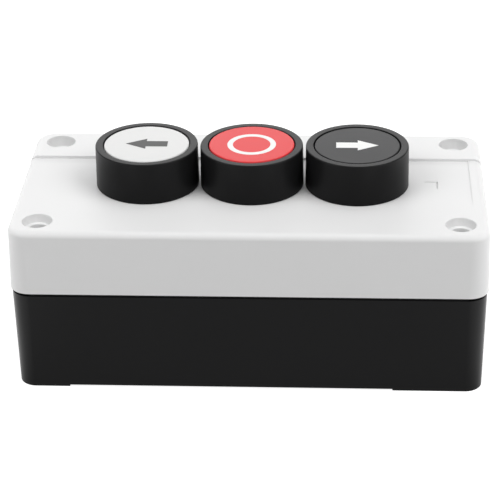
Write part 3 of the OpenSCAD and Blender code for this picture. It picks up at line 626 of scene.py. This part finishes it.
def coil(node, mean_r, wire_r, turns):
    """A wound spring that fills the height of a CAD node, with closed turns at both ends."""
    low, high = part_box(node)
    middle = (low + high) / 2
    height = high.z - low.z - 2 * wire_r
    closed = CLOSED_RISE * wire_r
    angles = [2 * pi * side / WIRE_SIDES for side in range(WIRE_SIDES)]
    bm = bmesh.new()
    rings = []
    for step in range(turns * COIL_STEPS + 1):
        u = step / COIL_STEPS
        if u < 1:
            z = u * closed
        elif u > turns - 1:
            z = height - (turns - u) * closed
        else:
            z = closed + (u - 1) / (turns - 2) * (height - 2 * closed)
        out = Vector((cos(2 * pi * u), sin(2 * pi * u), 0))
        centre = Vector((middle.x, middle.y, low.z + wire_r + z)) + out * mean_r
        spokes = [out * cos(angle) + Vector((0, 0, sin(angle))) for angle in angles]
        rings.append([bm.verts.new(centre + spoke * wire_r) for spoke in spokes])
    for one, two in zip(rings, rings[1:]):
        for side in range(WIRE_SIDES):
            after = (side + 1) % WIRE_SIDES
            bm.faces.new((one[side], one[after], two[after], two[side]))
    bm.faces.new(rings[0])
    bm.faces.new(rings[-1])
    return piece_from(bm, node + "_wound")


def squeezed(spring):
    """Gives a spring its own copy of its mesh."""
    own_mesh(spring)


for station in STATIONS:
    node = station + "_return_spring"
    wound = coil(node, mean_r=6 * MM, wire_r=0.38 * MM, turns=5)
    squeezed(fit(wound, "enclosure", "spring_steel", drawn_wire, node))
    node = station + "_block_spring"
    wound = coil(node, mean_r=2.7 * MM, wire_r=0.24 * MM, turns=6)
    squeezed(fit(wound, "enclosure", "spring_steel", drawn_wire, node))
    node = station + "_contact_spring"
    wound = coil(node, mean_r=1.5 * MM, wire_r=0.215 * MM, turns=5)
    fit(wound, station + "_contact", "spring_steel", drawn_wire, node)


# Contact blocks. The real ones are trays of grey plastic with a side plate pressed on, clipped to the
# floor of the base. A green or red plunger carries a moving bridge between two stamped contacts, and
# each contact ends under a clamp plate and a terminal screw.

grey_plastic = plastic("grey block plastic", (0.12, 0.125, 0.13), 0.5, specular=0.35, shade=0.06)
green_plastic = plastic("green plunger plastic", (0.008, 0.16, 0.03), 0.35, grain=0.4, depth=2,
                        shade=0.05)
red_plastic = plastic("red plunger plastic", (0.36, 0.012, 0.012), 0.35, grain=0.4, depth=2,
                      shade=0.05)
stamped_brass = metal("stamped contact brass", (0.8, 0.6, 0.3), 0.36, line=0.15)

for station in STATIONS:
    plunger_slot, plunger_plastic = (("red_plastic", red_plastic) if station == "stop"
                                     else ("green_plastic", green_plastic))
    for part, body, slot, material, edge_mm in (
            ("_block_housing", "enclosure", "block_plastic", grey_plastic, 0.12),
            ("_block_side_plate", "enclosure", "block_plastic", grey_plastic, 0.12),
            ("_block_plunger", station + "_contact", plunger_slot, plunger_plastic, 0.15),
            ("_contact_bridge", station + "_contact", "contact_brass", stamped_brass, 0.08),
            ("_front_contact", "enclosure", "contact_brass", stamped_brass, 0.08),
            ("_rear_contact", "enclosure", "contact_brass", stamped_brass, 0.08),
            ("_clamp_plates", "enclosure", "screw_steel", plated_steel, 0.08),
            ("_terminal_screws", "enclosure", "screw_steel", plated_steel, 0.12)):
        fit(eased(station + part, edge_mm * MM), body, slot, material, station + part)


# Floor and backdrop. Both are white to the camera and in reflections, and weaker as light on the
# object. Beside the box the floor glows more in reflections alone: a painted reflection, which puts
# white surroundings on the base's rounded corners.

FLOOR_HALF, FLOOR_DROP = 6000 * MM, 0.02 * MM
FLOOR_SHADE, FLOOR_GLOW = 0.45, 0.85
# Painted reflection: a band of extra glow at either side of the box, seen in reflections alone
PAINTED_REFLECTION_FROM, PAINTED_REFLECTION_TO, PAINTED_REFLECTION_GLOW = 64 * MM, 85 * MM, 1.1
BACKDROP_LIGHT = 0.2


def seen(tree):
    """1 for a ray from the camera, a reflection or glass, and 0 for light on a surface."""
    rays = add(tree, "ShaderNodeLightPath")
    either = add(tree, "ShaderNodeMath", operation="MAXIMUM")
    tree.links.new(rays.outputs["Is Camera Ray"], either.inputs[0])
    tree.links.new(rays.outputs["Is Glossy Ray"], either.inputs[1])
    any_of_them = add(tree, "ShaderNodeMath", operation="MAXIMUM")
    tree.links.new(either.outputs[0], any_of_them.inputs[0])
    tree.links.new(rays.outputs["Is Transmission Ray"], any_of_them.inputs[1])
    return any_of_them.outputs[0]


def floor_paint():
    """Matt paint with an even glow, and a painted reflection: more glow, seen in reflections alone, at
    either side of the box.
    """
    material = bpy.data.materials.new("white floor")
    material.use_nodes = True
    tree = material.node_tree
    link = tree.links.new
    shader = tree.nodes["Principled BSDF"]
    shader.inputs["Base Color"].default_value = (FLOOR_SHADE, FLOOR_SHADE, FLOOR_SHADE, 1)
    shader.inputs["Roughness"].default_value = 1
    shader.inputs["Specular IOR Level"].default_value = 0
    shader.inputs["Emission Color"].default_value = (1, 1, 1, 1)
    place = add(tree, "ShaderNodeTexCoord")
    apart = add(tree, "ShaderNodeSeparateXYZ")
    link(place.outputs["Object"], apart.inputs[0])
    aside = add(tree, "ShaderNodeMath", operation="ABSOLUTE")
    link(apart.outputs["X"], aside.inputs[0])
    # Painted reflection: the glow in the band beside the box reaches glossy rays only, for the base's
    # corners
    painted_reflection_band = add(tree, "ShaderNodeMapRange",
                 {"From Min": PAINTED_REFLECTION_FROM, "From Max": PAINTED_REFLECTION_TO, "To Max": PAINTED_REFLECTION_GLOW})
    link(aside.outputs[0], painted_reflection_band.inputs["Value"])
    rays = add(tree, "ShaderNodeLightPath")
    painted_reflection = add(tree, "ShaderNodeMath", operation="MULTIPLY")
    link(rays.outputs["Is Glossy Ray"], painted_reflection.inputs[0])
    link(painted_reflection_band.outputs[0], painted_reflection.inputs[1])
    glow = add(tree, "ShaderNodeMath", {1: FLOOR_GLOW}, operation="MULTIPLY_ADD")
    link(seen(tree), glow.inputs[0])
    link(painted_reflection.outputs[0], glow.inputs[2])
    link(glow.outputs[0], shader.inputs["Emission Strength"])
    return material


sheet = bmesh.new()
bmesh.ops.create_grid(sheet, x_segments=1, y_segments=1, size=FLOOR_HALF)
bmesh.ops.translate(sheet, vec=(0, 0, -FLOOR_DROP), verts=sheet.verts)
floor = piece_from(sheet, "floor")
floor.data.materials.append(floor_paint())

world = bpy.data.worlds.new("studio")
bpy.context.scene.world = world
world.use_nodes = True
tree = world.node_tree
background = tree.nodes["Background"]
background.inputs["Color"].default_value = (1, 1, 1, 1)
level = add(tree, "ShaderNodeMapRange", {"To Min": BACKDROP_LIGHT, "To Max": 1})
tree.links.new(seen(tree), level.inputs["Value"])
tree.links.new(level.outputs[0], background.inputs["Strength"])


# Lamps. Softboxes hang above, behind, and in front at the left and right. A low strip at each end
# brightens the ends, the sides of the bezels and the base's corners. All face the middle of the box.

LAMP_TARGET = Vector((0, 0, 40 * MM))


def lamp(name, place, size_x, size_y, radiance):
    """A softbox of a size in metres that faces the box, at a given radiance."""
    light = bpy.data.lights.new(name, "AREA")
    light.shape = "RECTANGLE"
    light.size, light.size_y = size_x, size_y
    light.energy = radiance * pi * size_x * size_y
    holder = bpy.data.objects.new(name, light)
    bpy.context.scene.collection.objects.link(holder)
    holder.location = place
    holder.rotation_euler = (LAMP_TARGET - Vector(place)).to_track_quat("-Z", "Y").to_euler()


lamp("top softbox", (0.12, 0, 1.15), size_x=1.1, size_y=1.1, radiance=1.36)
lamp("rear softbox", (-0.3, 1.3, 0.62), size_x=1.4, size_y=0.4, radiance=3.4)
lamp("left softbox", (-1.1, -0.6, 1.3), size_x=1, size_y=1, radiance=3.3)
lamp("right softbox", (1.1, -0.6, 1.3), size_x=1, size_y=1, radiance=3.8)
lamp("left strip", (-0.9, -0.15, 0.07), size_x=0.9, size_y=0.12, radiance=6.5)
lamp("right strip", (0.9, -0.15, 0.07), size_x=0.9, size_y=0.12, radiance=8)


# Camera. It stands where the photograph was taken from, in front of the box and above it. Its place,
# turn and focal length were fitted to the edges of the box and the bezels in the photograph.

FOCAL_PIXELS, FRAME_PIXELS, SENSOR = 1947.58, 500, 36
CAMERA_PLACE = Vector((28.05, -510.83, 299.04)) * MM
YAW, PITCH, ROLL = -0.0568, 0.4873, -0.0164
NEAREST_SEEN = 20 * MM

camera = bpy.data.objects.new("camera", bpy.data.cameras.new("camera"))
camera.data.sensor_width = SENSOR
camera.data.lens = FOCAL_PIXELS / FRAME_PIXELS * SENSOR
camera.data.clip_start = NEAREST_SEEN
ahead = Vector((sin(YAW) * cos(PITCH), cos(YAW) * cos(PITCH), -sin(PITCH)))
level_right = Vector((cos(YAW), -sin(YAW), 0))
level_up = level_right.cross(ahead)
right = level_right * cos(ROLL) + level_up * sin(ROLL)
up = level_up * cos(ROLL) - level_right * sin(ROLL)
turn = Matrix((right, up, -ahead)).transposed()
camera.matrix_world = Matrix.Translation(CAMERA_PLACE) @ turn.to_4x4()
bpy.context.scene.collection.objects.link(camera)
bpy.context.scene.camera = camera
bpy.context.scene.view_settings.view_transform = "Standard"
